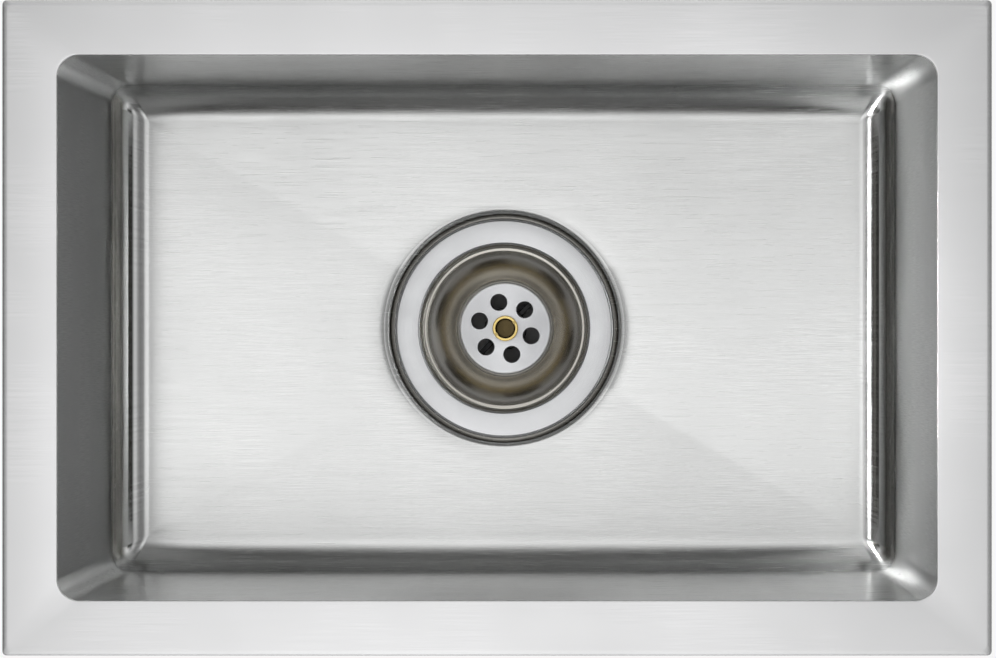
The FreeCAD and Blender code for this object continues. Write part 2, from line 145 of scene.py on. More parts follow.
def bowl_skin(columns, grow):
    """Rows of the sheet's inside, or grown by the sheet's thickness of its outside, from the weld at the top
    to the edge of the waste hole. Also gives each point's place on the flat blank, where the satin runs."""
    rows, blank = [], []
    kind, share = columns[2], columns[3]
    cove_length = cove_r * np.pi / 2

    def add(points, risen):
        """risen is the length of sheet from the floor's edge up to this row."""
        turn = share * np.pi / 2
        x, y = np.abs(points[:, 0]), np.abs(points[:, 1])
        along = np.select([kind == 0, kind == 1], [floor_half_length + risen + 0 * x,
                          floor_half_length + risen * np.cos(turn)], floor_half_length * share)
        across = np.select([kind == 0, kind == 1], [floor_half_width * share,
                           floor_half_width + risen * np.sin(turn)], floor_half_width + risen + 0 * x)
        if risen <= 0:
            along, across = x, y
        rows.append(points)
        blank.append(np.stack([across * columns[1], along * columns[0]], axis=-1))

    for z in np.concatenate([[bowl_top], np.linspace(-3 * MM, cove_z, 24)]):
        add(wall_row(columns, grow, z), cove_length + z - cove_z)
    for turn in np.linspace(0, np.pi / 2, 25)[1:]:
        add(cove_row(columns, grow, turn), cove_length * (1 - turn / (np.pi / 2)))
    edge = rows[-1][:, :2]
    inner = edge * [1 - floor_margin / floor_half_length, 1 - floor_margin / floor_half_width]
    reach = (recess_r + shoulder_r) / np.hypot(inner[:, 0], inner[:, 1])
    for w in 1 - (1 - np.linspace(0, 1, 22)) ** 2.2:
        at = inner * (1 - w + w * reach)[:, None]
        add(np.column_stack([at, floor_height(at[:, 0], at[:, 1]) - grow]), 0)
    way = inner / np.hypot(inner[:, 0], inner[:, 1])[:, None]
    shoulder_top = rows[-1][:, 2] + grow
    bend = np.minimum(shoulder_r, shoulder_top - recess_z - recess_bend_r)
    for turn in np.linspace(0, np.pi / 2, 9)[1:]:
        r = recess_r + bend - (bend - grow) * np.sin(turn)
        z = shoulder_top - bend + (bend - grow) * np.cos(turn)
        add(np.column_stack([way * r[:, None], z]), 0)
    for turn in np.linspace(0, np.pi / 2, 7):
        r = recess_r - recess_bend_r + (recess_bend_r + grow) * np.cos(turn)
        z = recess_z + recess_bend_r - (recess_bend_r + grow) * np.sin(turn)
        add(np.column_stack([way * r, np.full(len(way), z)]), 0)
    add(np.column_stack([way * waste_hole_r, np.full(len(way), recess_z - grow)]), 0)
    return np.array(rows), np.array(blank)


def grid_faces(rows, columns):
    """Quads between neighbouring rows and columns of a grid whose last column meets its first."""
    r, c = np.meshgrid(np.arange(rows - 1), np.arange(columns), indexing="ij")
    after = (c + 1) % columns
    corners = [r * columns + c, (r + 1) * columns + c, (r + 1) * columns + after, r * columns + after]
    return np.stack(corners, axis=-1).reshape(-1, 4)


def new_piece(name, points, faces, uv=None, smooth_angle=None):
    """A mesh object at the origin from points and quads, its doubles merged and its faces smooth. uv, if
    given, holds one place on the piece's own map for each point."""
    mesh = bpy.data.meshes.new(name)
    mesh.from_pydata(points.tolist(), [], faces.tolist())
    if uv is not None:
        layer = mesh.uv_layers.new(name="blank")
        corner_points = np.empty(len(mesh.loops), int)
        mesh.loops.foreach_get("vertex_index", corner_points)
        layer.data.foreach_set("uv", uv[corner_points].astype(np.float32).ravel())
    piece = bpy.data.objects.new(name, mesh)
    bpy.context.scene.collection.objects.link(piece)
    shape = bmesh.new()
    shape.from_mesh(mesh)
    bmesh.ops.remove_doubles(shape, verts=shape.verts, dist=0.002 * MM)
    bmesh.ops.dissolve_degenerate(shape, edges=shape.edges, dist=0.001 * MM)
    shape.to_mesh(mesh)
    shape.free()
    mesh.shade_smooth()
    if smooth_angle:
        mesh.set_sharp_from_angle(angle=math.radians(smooth_angle))
    return piece


bowl_columns = perimeter_columns(56, 34, 18)
inside, inside_blank = bowl_skin(bowl_columns, 0)
outside, outside_blank = bowl_skin(bowl_columns, bowl_sheet)
shell = np.concatenate([inside, outside[::-1]])
shell_blank = np.concatenate([inside_blank, outside_blank[::-1]])
count = shell.shape[1]
faces = grid_faces(len(shell) + 1, count) % (len(shell) * count)
bowl = new_piece("bowl_sheet", shell.reshape(-1, 3), faces[:, ::-1], shell_blank.reshape(-1, 2), 35)


class Socket:
    """An output of a material's nodes. Sums on it add Math nodes, and put() adds a node of any other type."""

    def __init__(self, tree, output=None):
        self.tree, self.output = tree, output

    def put(self, kind, settings=(), sockets=(), out=0):
        node = self.tree.nodes.new("ShaderNode" + kind)
        for name, setting in dict(settings).items():
            if name == "stops":
                stops = node.color_ramp.elements
                while len(stops) < len(setting):
                    stops.new(0.5)
                for stop, (place, colour) in zip(stops, setting):
                    stop.position, stop.color = place, colour
            else:
                setattr(node, name, setting)
        for name, value in dict(sockets).items():
            if isinstance(value, Socket):
                self.tree.links.new(value.output, node.inputs[name])
            else:
                node.inputs[name].default_value = value
        return Socket(self.tree, node.outputs[out] if node.outputs else None)

    def maths(self, operation, *values):
        return self.put("Math", {"operation": operation}, enumerate((self,) + values))

    def __add__(self, other):
        return self.maths("ADD", other)

    def __sub__(self, other):
        return self.maths("SUBTRACT", other)

    def __rsub__(self, other):
        return self.put("Math", {"operation": "SUBTRACT"}, {0: other, 1: self})

    def __mul__(self, other):
        return self.maths("MULTIPLY", other)

    def __truediv__(self, other):
        return self.maths("DIVIDE", other)

    __radd__, __rmul__ = __add__, __mul__

    def step(self, low, high):
        """0 below low, 1 above high, and smooth between."""
        return self.put("MapRange", {"interpolation_type": "SMOOTHSTEP"}, {0: self, 1: low, 2: high})

    def mix(self, a, b):
        """The colour a where this is 0, and b where it is 1."""
        return self.put("Mix", {"data_type": "RGBA"}, {0: self, 6: a, 7: b}, out=2)


def new_material(name):
    """An empty material, and the socket that its nodes are added from."""
    material = bpy.data.materials.new(name)
    material.use_nodes = True
    material.node_tree.nodes.clear()
    return material, Socket(material.node_tree)


def finish_with(start, shader_sockets):
    """Ends a material in one Principled shader."""
    shader = start.put("BsdfPrincipled", (), shader_sockets)
    start.put("OutputMaterial", (), {"Surface": shader})


def steel(name, colour, roughness, cove_roughness, short_roughness, long_roughness, line_width,
          line_length, relief, anisotropic):
    """Satin stainless steel. The lines are noise on the flat blank, stretched along it: they vary the tone
    and the roughness, stand in a shallow bump, and spread the gloss across them. roughness is the floor's;
    the coves of the short sides, their walls, and the long sides have their own. The steel's colour is
    darkened in the coves of the short sides and in the recess, as painted shade."""
    wall_foot = (-190 * MM, -180 * MM)
    # painted shade: the coves of the short sides are darkened in colour from this height up to the walls'
    # foot
    shaded_cove_foot, floor_edge = (-195.5 * MM, -194 * MM), (-200.2 * MM, -199.5 * MM)
    recess_edge = (-205.2 * MM, -204.4 * MM)
    # the darker colour of the painted shade in the short coves and the recess
    painted_shade_tint = (0.38, 0.365, 0.34)
    material, start = new_material(name)
    place = start.put("UVMap", {"uv_map": "blank"})
    object_place = start.put("TexCoord", (), (), out=3)
    z = start.put("SeparateXYZ", (), {0: object_place}, out=2)
    lines = []
    for width, length, detail in ((line_width, line_length, 3), (4 * line_width, 2.5 * line_length, 2)):
        stretched = start.put("Mapping", (), {"Vector": place, "Scale": (1 / width, 1 / length, 1)})
        lines.append(start.put("TexNoise", {"noise_dimensions": "2D"},
                               {"Vector": stretched, "Scale": 1.0, "Detail": detail, "Roughness": 0.6}))
    fine, broad = lines
    facing = start.put("TexCoord", (), (), out=1)
    facing_x, facing_y = [start.put("SeparateXYZ", (), {0: facing}, out=n).maths("ABSOLUTE")
                          for n in range(2)]
    short = (facing_x - facing_y).step(0.0, 0.5)
    wall, cove = z.step(*wall_foot), z.step(*floor_edge)
    side_rough = wall * (long_roughness - roughness) + roughness
    short_rough = wall * (short_roughness - cove_roughness) + cove_roughness
    rough = cove * (short * (short_rough - side_rough) + side_rough - roughness) + roughness
    rough = rough + ((fine - 0.5) * 0.6 + (broad - 0.5) * 0.2) * relief
    height = fine * 0.7 + broad * 0.3
    normal = start.put("Bump", (), {"Strength": relief, "Distance": 0.02 * MM, "Height": height})
    tangent = start.put("Tangent", {"direction_type": "UV_MAP", "uv_map": "blank"})
    clouds = start.put("TexNoise", {"noise_dimensions": "2D"}, {"Vector": place, "Scale": 14.0, "Detail": 2})
    streaks = (fine - 0.5) * (clouds.step(0.40, 0.60) * 3.2 + 1.2) * relief * 2.5 + (clouds - 0.5) * 0.7
    tone = (streaks + 0.5).mix([c * 0.88 for c in colour] + [1], [c * 1.06 for c in colour] + [1])
    # painted shade: the coves of the short sides and the recess take a darker colour
    painted_shade = short * z.step(*shaded_cove_foot) * (1 - wall) + (1 - z.step(*recess_edge))
    tone = (painted_shade * 0.9).mix(tone, [c * dulled for c, dulled in zip(colour, painted_shade_tint)] + [1])
    finish_with(start, {"Base Color": tone, "Metallic": 1.0, "Roughness": rough, "Normal": normal,
                        "Anisotropic": anisotropic, "Tangent": tangent})
    return material


bowl.data.materials.append(steel(
    "satin_steel_bowl", (0.76, 0.765, 0.76), roughness=0.24, cove_roughness=0.10, short_roughness=0.60,
    long_roughness=0.30, line_width=0.36 * MM, line_length=20 * MM, relief=0.3, anisotropic=0.9))
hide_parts("bowl")
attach(bowl, "sink")

# ---- Rim plate --------------------------------------------------------------------------------------
# The rim is a flat stainless frame with a rounded opening in line with the bowl's walls. It is sealed to
# the underside of the worktop, and its opening has drawn down a hair where the bowl is welded to it.
rim_half_length, rim_half_width = 225 * MM, 149 * MM
rim_sheet, rim_corner_r, rim_edge_r = 1.2 * MM, 2 * MM, 0.35 * MM
rim_draw, rim_draw_reach = 0.40 * MM, 12 * MM


def rim_loop(columns, share):
    """A loop round the frame between the opening, at share 0, and the outer edge, at share 1: each column
    runs straight from the opening's outline to the same place on the outer one."""
    opening = wall_row(columns, 0, 0)
    kind, way = columns[2], columns[3]
    r = rim_corner_r
    straight_x, straight_y = rim_half_length - r, rim_half_width - r
    turn = way * np.pi / 2
    x = np.select([kind == 0, kind == 1], [straight_x + r, straight_x + r * np.cos(turn)], way * straight_x)
    y = np.select([kind == 0, kind == 1], [way * straight_y, straight_y + r * np.sin(turn)], straight_y + r)
    return opening + (signed(columns, x, y, 0) - opening) * share


def rim_rows(columns):
    """The frame's section from under the opening's edge, over the top and round the outer edge to the
    underside: both edges are rounded, and the top falls off towards the opening as an exponential."""
    land = rim_half_length - bowl_half_length
    bend = np.linspace(0, np.pi / 2, 5)
    over = rim_edge_r + np.array([0.6, 1.5, 3, 5, 7.5, 10.5, 14, 18, 22]) * MM
    reach = np.concatenate([[0], rim_edge_r * (1 - np.cos(bend)), over,
                            land - rim_edge_r * (1 - np.sin(bend)), [land, land - rim_edge_r, 0]])
    drop = rim_draw * np.exp(-reach / rim_draw_reach)
    height = np.concatenate([[-rim_sheet], -rim_edge_r * (1 - np.sin(bend)), 0 * over,
                             -rim_edge_r * (1 - np.cos(bend)),
                             [rim_edge_r - rim_sheet, -rim_sheet, -rim_sheet]])
    height[1:-3] -= drop[1:-3]
    loops = [rim_loop(columns, at / land) + [0, 0, z] for at, z in zip(reach, height)]
    return np.array(loops)


rim_points = rim_rows(bowl_columns)
rim_blank = rim_points[..., 1::-1]
faces = grid_faces(len(rim_points) + 1, count) % (len(rim_points) * count)
rim = new_piece("rim_frame", rim_points.reshape(-1, 3), faces, rim_blank.reshape(-1, 2), 50)
rim.data.materials.append(steel(
    "satin_steel_rim", (0.72, 0.72, 0.725), roughness=0.22, cove_roughness=0.22, short_roughness=0.22,
    long_roughness=0.22, line_width=0.5 * MM, line_length=34 * MM, relief=0.10, anisotropic=0.5))
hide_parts("rim_plate")
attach(rim, "sink")

# ---- Waste: strainer cup, plate and screw -----------------------------------------------------------
# The cup is spun from thin stainless, left bright and finely ringed by the lathe. Its flange is clamped on
# the recess by a hollow brass screw through a pierced plate at the bottom of its neck.


def turned_steel(name, colour, roughness, ring_width, ring_depth, shade_colour=None, shade_below_z=0.0):
    """Spun or turned metal: rings round the Z axis vary the roughness and stand in a shallow bump, and the
    gloss is spread across them. Below the given height the metal may take a darker colour, as painted shade."""
    material, start = new_material(name)
    place = start.put("TexCoord", (), (), out=3)
    x, y, z = [start.put("SeparateXYZ", (), {0: place}, out=n) for n in range(3)]
    section = start.put("CombineXYZ", (), {0: (x * x + y * y).maths("SQRT"), 1: z})
    rings = start.put("TexNoise", {"noise_dimensions": "2D"},
                      {"Vector": section, "Scale": 1 / ring_width, "Detail": 3, "Roughness": 0.6})
    clouds = start.put("TexNoise", (), {"Vector": place, "Scale": 90.0, "Detail": 2})
    rough = (rings - 0.5) * 0.12 + (clouds - 0.5) * 0.10 + roughness
    normal = start.put("Bump", (), {"Strength": 0.3, "Distance": ring_depth, "Height": rings})
    tangent = start.put("Tangent", {"direction_type": "RADIAL", "axis": "Z"})
    tone = (rings * 0.6 + clouds * 0.4).mix([c * 0.93 for c in colour] + [1], list(colour) + [1])
    # painted shade: below the given height the metal takes a darker colour
    if shade_colour:
        tone = z.step(shade_below_z - 0.5 * MM, shade_below_z + 0.5 * MM).mix(list(shade_colour) + [1], tone)
    finish_with(start, {"Base Color": tone, "Metallic": 1.0, "Roughness": rough, "Normal": normal,
                        "Anisotropic": 0.6, "Anisotropic Rotation": 0.25, "Tangent": tangent})
    return material


def finish_node(name, material):
    """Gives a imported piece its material."""
    mesh = frame["nodes"][name].data
    mesh.materials.clear()
    mesh.materials.append(material)


def arc(centre_r, centre_z, radius, from_deg, to_deg, steps=8):
    """Points of an arc in a turned section; 0 degrees points outwards and 90 upwards."""
    turn = np.radians(np.linspace(from_deg, to_deg, steps + 1))
    return np.column_stack([centre_r + radius * np.cos(turn), centre_z + radius * np.sin(turn)])


def turned_piece(name, section, columns, smooth_angle, twist=None):
    """A closed section of (r, z) points carried round the Z axis. twist, if given, changes the radii: it
    takes every point's radius, height and turn."""
    turn = np.arange(columns) / columns * 2 * np.pi
    r = np.repeat(section[:, :1], columns, axis=1)
    z = np.repeat(section[:, 1:], columns, axis=1)
    if twist:
        r = twist(r, z, turn[None, :] + 0 * r)
    points = np.stack([r * np.cos(turn), r * np.sin(turn), z], axis=-1)
    faces = grid_faces(len(section) + 1, columns) % (len(section) * columns)
    return new_piece(name, points.reshape(-1, 3), faces, None, smooth_angle)


cup_sheet, cup_flange_r, cup_top, cup_mouth_r = 1 * MM, 56.75 * MM, -204.5 * MM, 43 * MM
cup_ledge_z, cup_curve_r, cup_neck_r, cup_seat_z = -213.5 * MM, 33 * MM, 25.4 * MM, -245.2 * MM
cup_throat_r, cup_curve_z, cup_seat_r = 39.2 * MM, -214.7 * MM, 20.5 * MM
cup_neck_z = cup_seat_z + 2.9 * MM
cup_turn = math.degrees(math.acos((cup_neck_r + 1.5 * MM - cup_throat_r + cup_curve_r)
                                  / (cup_curve_r + 1.5 * MM)))


def cup_line(under):
    """The cup's section from its turned-down lip, over the flange, down the mouth, across the ledge and
    round the bowl to the seat of its neck; under is 0 for the top side and the sheet for the underside."""
    return np.concatenate([
        [(cup_flange_r - under, cup_top - 2.2 * MM)],
        arc(cup_flange_r - 2 * MM, cup_top - 2 * MM, 2 * MM - under, 0, 90),
        arc(cup_mouth_r + 1.5 * MM, cup_top - 1.5 * MM, 1.5 * MM - under, 90, 180),
        arc(cup_mouth_r - 2 * MM, cup_ledge_z + 2 * MM, 2 * MM + under, 0, -90),
        arc(cup_throat_r + 1.2 * MM, cup_curve_z, 1.2 * MM - under, 90, 180, 5),
        arc(cup_throat_r - cup_curve_r, cup_curve_z, cup_curve_r + under, 0, -cup_turn, 20)[1:],
        arc(cup_neck_r + 1.5 * MM, cup_neck_z, 1.5 * MM - under, 180 - cup_turn, 180, 5)[1:],
        arc(cup_neck_r - 0.8 * MM, cup_seat_z + 0.8 * MM, 0.8 * MM + under, 0, -90, 5),
        [(cup_seat_r, cup_seat_z - under)]])


cup = turned_piece("spun_cup", np.concatenate([cup_line(0), cup_line(cup_sheet)[::-1]]), 160, 40)
# painted shade: the cup's inside below its flange is coloured darker and warmer
cup.data.materials.append(turned_steel("spun_steel_cup", (0.62, 0.625, 0.635), 0.2, 0.5 * MM, 0.01 * MM,
                                       (0.54, 0.52, 0.475), cup_top - 1.5 * MM))
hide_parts("strainer_cup")
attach(cup, "sink")
bright_steel = turned_steel("pressed_steel_plate", (0.90, 0.91, 0.93), 0.36, 1 * MM, 0.004 * MM)
finish_node("strainer_plate", bright_steel)
# painted shade: the screw's hollow bore, below a height just under its head, is coloured near black-brown
brass_colour, shaded_brass, screw_shade_top = (0.86, 0.66, 0.26), (0.10, 0.075, 0.035), cup_seat_z + 3.0 * MM
brass = turned_steel("turned_brass", brass_colour, 0.22, 0.4 * MM, 0.008 * MM)
screw_brass = turned_steel("turned_brass_screw", brass_colour, 0.22, 0.4 * MM, 0.008 * MM, shaded_brass,
                           screw_shade_top)
finish_node("centre_screw", screw_brass)
finish_node("thread_insert", brass)

# ---- Seals ------------------------------------------------------------------------------------------
# Two flat rings of black rubber, punched from sheet: one under the cup's flange, one under the recess.
# The screw squeezes both of them when it pulls the waste body up.


def moulded(name, colour, roughness, grain, depth, speckle=0.12):
    """A matt moulded or cast surface: fine noise varies the colour and stands in a bump, and a broader
    noise clouds the roughness."""
    material, start = new_material(name)
    place = start.put("TexCoord", (), (), out=3)
    fine = start.put("TexNoise", (), {"Vector": place, "Scale": 1 / grain, "Detail": 3, "Roughness": 0.65})
    broad = start.put("TexNoise", (), {"Vector": place, "Scale": 0.06 / grain, "Detail": 2})
    tone = fine.mix([c * (1 - speckle) for c in colour] + [1], [c * (1 + speckle) for c in colour] + [1])
    normal = start.put("Bump", (), {"Strength": 0.6, "Distance": depth, "Height": fine})
    finish_with(start, {"Base Color": tone, "Roughness": (broad - 0.5) * 0.3 + roughness, "Normal": normal})
    return material


rubber = moulded("black_rubber", (0.028, 0.028, 0.03), 0.55, 0.6 * MM, 0.05 * MM)
finish_node("cup_seal", rubber)
finish_node("body_seal", rubber)

# ---- Waste body -------------------------------------------------------------------------------------
# The body is moulded in black polypropylene: a flange that the screw pulls up against the recess, a funnel
# stiffened by eight gussets, an outlet with a pipe thread, and a boss on four ribs that holds the insert.
body_top, body_flange_r, body_wall = -210 * MM, 56.5 * MM, 3 * MM
body_mouth_r, body_waist_r, collar_z, waist_z = 45.5 * MM, 30 * MM, -217 * MM, -246.5 * MM
outlet_thread_r, outlet_bore_r, outlet_top, outlet_end = 23.9 * MM, 20 * MM, -256.5 * MM, -278.5 * MM
thread_pitch, thread_depth = 2.309 * MM, 1.3 * MM
gusset_count, gusset_thickness = 8, 2.5 * MM


def threaded(major_r, pitch, depth, high, low):
    """A twist for turned_piece: a V-shaped groove that sinks once per pitch as it goes round, on every
    point that lies on the major radius between the two heights, and runs out over half a pitch."""
    def twist(r, z, turn):
        phase = (z / pitch + turn / (2 * np.pi)) % 1
        groove = np.clip(1.25 * (1 - np.abs(2 * phase - 1)), 0, 1)
        inside = np.clip((high - z) / (pitch / 2), 0, 1) * np.clip((z - low) / (pitch / 2), 0, 1)
        return r - depth * groove * inside * (np.abs(r - major_r) < 1e-6)
    return twist


thread_rows = np.linspace(outlet_top - 1.5 * MM, outlet_end + 1 * MM, 100)
body_section = np.concatenate([
    arc(body_flange_r - 0.6 * MM, body_top - 0.6 * MM, 0.6 * MM, 90, 0, 3),
    arc(body_flange_r - 0.6 * MM, body_top - 3.4 * MM, 0.6 * MM, 0, -90, 3),
    arc(body_mouth_r + body_wall + 1 * MM, body_top - 5 * MM, 1 * MM, 90, 180, 4),
    [(body_mouth_r + body_wall, collar_z)],
    [(body_waist_r + body_wall, waist_z), (outlet_thread_r, outlet_top)],
    np.column_stack([np.full(len(thread_rows), outlet_thread_r), thread_rows]),
    [(outlet_thread_r - 1 * MM, outlet_end), (outlet_bore_r, outlet_end), (outlet_bore_r, outlet_top),
     (body_waist_r, waist_z), (body_mouth_r, collar_z), (body_mouth_r, body_top)]])
pipe_thread = threaded(outlet_thread_r, thread_pitch, thread_depth, outlet_top - 2 * MM, outlet_end + 1 * MM)
body = turned_piece("waste_funnel", body_section, 96, 32, pipe_thread)


def prisms(name, outline, thickness, count, first_turn):
    """Flat plates stood on edge round the Z axis: an outline in (r, z), thickened across and repeated at
    even turns. Each face is a grid of one row between the outline and its shifted copy."""
    across = np.array([-0.5, 0.5]) * thickness
    size = len(outline)
    side = np.concatenate([np.column_stack([outline[:, 0], np.full(size, a), outline[:, 1]]) for a in across])
    turn = first_turn + np.arange(count) * 2 * np.pi / count
    c, s = np.cos(turn)[:, None], np.sin(turn)[:, None]
    points = np.stack([side[:, 0] * c - side[:, 1] * s, side[:, 0] * s + side[:, 1] * c,
                       side[:, 2] + 0 * c], axis=-1)
    k = np.arange(size)
    edge = np.stack([k, (k + 1) % size, (k + 1) % size + size, k + size], axis=-1)
    mesh = bpy.data.meshes.new(name)
    faces = [(face + 2 * size * n).tolist() for n in range(count)
             for face in [*edge, k[::-1], k + size]]
    mesh.from_pydata(points.reshape(-1, 3).tolist(), [], faces)
    piece = bpy.data.objects.new(name, mesh)
    bpy.context.scene.collection.objects.link(piece)
    bevel = piece.modifiers.new("edges", "BEVEL")
    bevel.width, bevel.segments = 0.35 * MM, 2
    return piece


mid_wall_r = body_mouth_r + body_wall / 2
gusset_outline = np.array([
    (mid_wall_r, body_top - 4 * MM), (body_flange_r - 1.5 * MM, body_top - 4 * MM),
    ((body_mouth_r + body_waist_r + body_wall) / 2, (waist_z + collar_z) / 2), (mid_wall_r, collar_z)])
gussets = prisms("waste_gussets", gusset_outline, gusset_thickness, gusset_count, 0.0)
boss_r, boss_top, boss_low, insert_r = 11 * MM, -250.7 * MM, -266.7 * MM, 8.55 * MM
pocket_r, pocket_z, insert_length = 6.5 * MM, -264.2 * MM, 12 * MM
rib_outline = np.array([(boss_r - 1 * MM, boss_low), (boss_r - 1 * MM, boss_low + 9 * MM),
                        (outlet_bore_r + 1 * MM, boss_low + 9 * MM), (outlet_bore_r + 1 * MM, boss_low)])
ribs = prisms("waste_boss_ribs", rib_outline, 2.5 * MM, 4, math.pi / 4)
boss_section = np.concatenate([
    [(0, boss_low)], arc(boss_r - 0.6 * MM, boss_low + 0.6 * MM, 0.6 * MM, -90, 0, 3),
    arc(boss_r - 0.5 * MM, boss_top - 0.5 * MM, 0.5 * MM, 0, 90, 3),
    [(insert_r, boss_top), (insert_r, boss_top - insert_length), (pocket_r, boss_top - insert_length),
     (pocket_r, pocket_z), (0, pocket_z)]])
boss = turned_piece("waste_boss", boss_section, 64, 40)
black_plastic = moulded("black_polypropylene", (0.022, 0.022, 0.024), 0.42, 0.9 * MM, 0.01 * MM, 0.1)
for piece in (body, gussets, ribs, boss):
    piece.data.materials.append(black_plastic)
    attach(piece, "sink")
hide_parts("waste_body")

# ---- Sound pads -------------------------------------------------------------------------------------
# Slabs of grey butyl rubber, cut with rounded corners and glued to the outside of the walls and floor to
# deaden the ring of the thin sheet. Their open face is lightly pebbled.
butyl = moulded("grey_butyl", (0.085, 0.088, 0.092), 0.72, 1.3 * MM, 0.16 * MM, 0.2)
for name in ("floor_pad_left", "floor_pad_right", "wall_pad_front", "wall_pad_back", "wall_pad_left",
             "wall_pad_right"):
    finish_node(name, butyl)

# ---- Studs, washers and nuts ------------------------------------------------------------------------
# Six M6 studs of zinc-plated steel are welded to the underside of the rim. A washer and a nut on each of
# them hold a clip, finger-loose until the sink is fitted.
stud_r, stud_top, stud_low, stud_edge = 3 * MM, -1.2 * MM, -17.2 * MM, 0.6 * MM
stud_section = np.concatenate([
    [(0, stud_top), (stud_r + 0.7 * MM, stud_top), (stud_r, stud_top - 0.7 * MM)],
    np.column_stack([np.full(112, stud_r), np.linspace(-2.6 * MM, stud_low + stud_edge, 112)]),
    [(stud_r - stud_edge, stud_low), (0, stud_low)]])
stud = turned_piece("stud_pattern", stud_section, 24, 40,
                    threaded(stud_r, 1 * MM, 0.55 * MM, -3 * MM, stud_low + stud_edge))
pattern = stud.data
stud_points = np.array([v.co for v in pattern.vertices])
stud_places = [(-130, -137), (130, -137), (-130, 137), (130, 137), (-213, 0), (213, 0)]
points = np.concatenate([stud_points + [x * MM, y * MM, 0] for x, y in stud_places])
faces = [[i + n * len(stud_points) for i in f.vertices]
         for n in range(len(stud_places)) for f in pattern.polygons]
mesh = bpy.data.meshes.new("threaded_studs")
mesh.from_pydata(points.tolist(), [], faces)
mesh.shade_smooth()
mesh.set_sharp_from_angle(angle=math.radians(40))
bpy.data.objects.remove(stud)
studs = bpy.data.objects.new("threaded_studs", mesh)
bpy.context.scene.collection.objects.link(studs)


def plated(name, colour, roughness, grain):
    """Plated or bright-rolled small parts: clouded tone and roughness, and a fine orange-peel bump."""
    material, start = new_material(name)
    place = start.put("TexCoord", (), (), out=3)
    fine = start.put("TexNoise", (), {"Vector": place, "Scale": 1 / grain, "Detail": 3})
    broad = start.put("TexNoise", (), {"Vector": place, "Scale": 0.15 / grain, "Detail": 3})
    tone = broad.mix([c * 0.86 for c in colour] + [1], list(colour) + [1])
    normal = start.put("Bump", (), {"Strength": 0.4, "Distance": 0.02 * MM, "Height": fine})
    finish_with(start, {"Base Color": tone, "Metallic": 1.0, "Normal": normal,
                        "Roughness": (fine - 0.5) * 0.12 + (broad - 0.5) * 0.16 + roughness})
    return material


zinc = plated("zinc_plated_steel", (0.72, 0.74, 0.76), 0.34, 0.8 * MM)
studs.data.materials.append(zinc)
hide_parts("weld_studs")
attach(studs, "sink")
finish_node("washers", zinc)
finish_node("hex_nuts", zinc)

# ---- Clips ------------------------------------------------------------------------------------------
# Each clip is a joggled strip of galvanised steel that turns on its stud: parked along the rim for packing,
# swung out square to be screwed to the worktop's underside.
galvanised = plated("galvanised_strip", (0.66, 0.68, 0.70), 0.40, 2.2 * MM)
for joint in frame["joints"]:
    finish_node(joint["child"], galvanised)

# ---- Camera, floor and light ------------------------------------------------------------------------
# The camera looks straight down from where the photograph was taken, a little right of the bowl's middle.
# The floor is pale and clears for a camera below it. The light comes from strip lamps overhead, two gridded
# lamps aimed at the right wall, and four low lamps round the outside.
picture_width, picture_height = 996, 658
rim_scale = 2.2                              # pixels to a millimetre in the rim's plane
camera_height = 1552 * MM
camera_x, camera_y = 27.7 * MM, -1.9 * MM
nadir_x, nadir_y = 558.0, 332.0              # pixel under the camera
camera_data = bpy.data.cameras.new("camera")
camera_data.sensor_width = 36
camera_data.lens = 36 * camera_height / (picture_width / rim_scale * MM)
camera_data.shift_x = (picture_width / 2 - nadir_x) / picture_width
camera_data.shift_y = (nadir_y - picture_height / 2) / picture_width
camera = bpy.data.objects.new("camera", camera_data)
camera.location = (camera_x, camera_y, camera_height)
bpy.context.scene.collection.objects.link(camera)
bpy.context.scene.camera = camera

floor_z, floor_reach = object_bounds()[0][2], 4
outlet_shade = (22 * MM, 26 * MM)            # the floor doesn't glow right under the outlet
floor_mesh = bpy.data.meshes.new("floor")
floor_corners = [(x * floor_reach, y * floor_reach, floor_z) for x, y in ((-1, -1), (1, -1), (1, 1), (-1, 1))]
floor_mesh.from_pydata(floor_corners, [], [(0, 1, 2, 3)])
floor = bpy.data.objects.new("floor", floor_mesh)
bpy.context.scene.collection.objects.link(floor)
floor_paint, start = new_material("floor_paint")
shade = start.put("BsdfDiffuse", (), {"Color": (0.9, 0.9, 0.9, 1)})
glow = start.put("Emission", (), {"Color": (1, 1, 1, 1), "Strength": 1.0})
place = start.put("TexCoord", (), (), out=3)
x, y = [start.put("SeparateXYZ", (), {0: place}, out=n) for n in range(2)]
clear_of_outlet = (x * x + y * y).maths("SQRT").step(*outlet_shade)
camera_ray, glossy_ray = [start.put("LightPath", (), (), out=n) for n in (0, 3)]
seen = (camera_ray + glossy_ray).maths("MINIMUM", 1.0)
both = start.put("MixShader", (), {0: seen * clear_of_outlet * 0.9, 1: shade, 2: glow})
from_below = start.put("NewGeometry", (), (), out=6) * camera_ray
clear = start.put("BsdfTransparent", (), {"Color": (1, 1, 1, 1)})
both = start.put("MixShader", (), {0: from_below, 1: both, 2: clear})
start.put("OutputMaterial", (), {"Surface": both})
floor_mesh.materials.append(floor_paint)

world = bpy.data.worlds.new("studio")
bpy.context.scene.world = world
world.use_nodes = True
world.node_tree.nodes.clear()
start = Socket(world.node_tree)
way = start.put("TexCoord", (), (), out=0)
way_x, way_y, way_z = [start.put("SeparateXYZ", (), {0: way}, out=n) for n in range(3)]
lean_x = way_x.maths("ARCTAN2", way_z) * (1 / math.pi) + 0.5
lean_y = way_y.maths("ARCTAN2", way_z) * (1 / math.pi) + 0.5
brightest, sky_level = 1.5, 1.85             # the light that a ramp's white stands for, and the whole sky's
corner_light, horizon_light = 0.24, 0.30


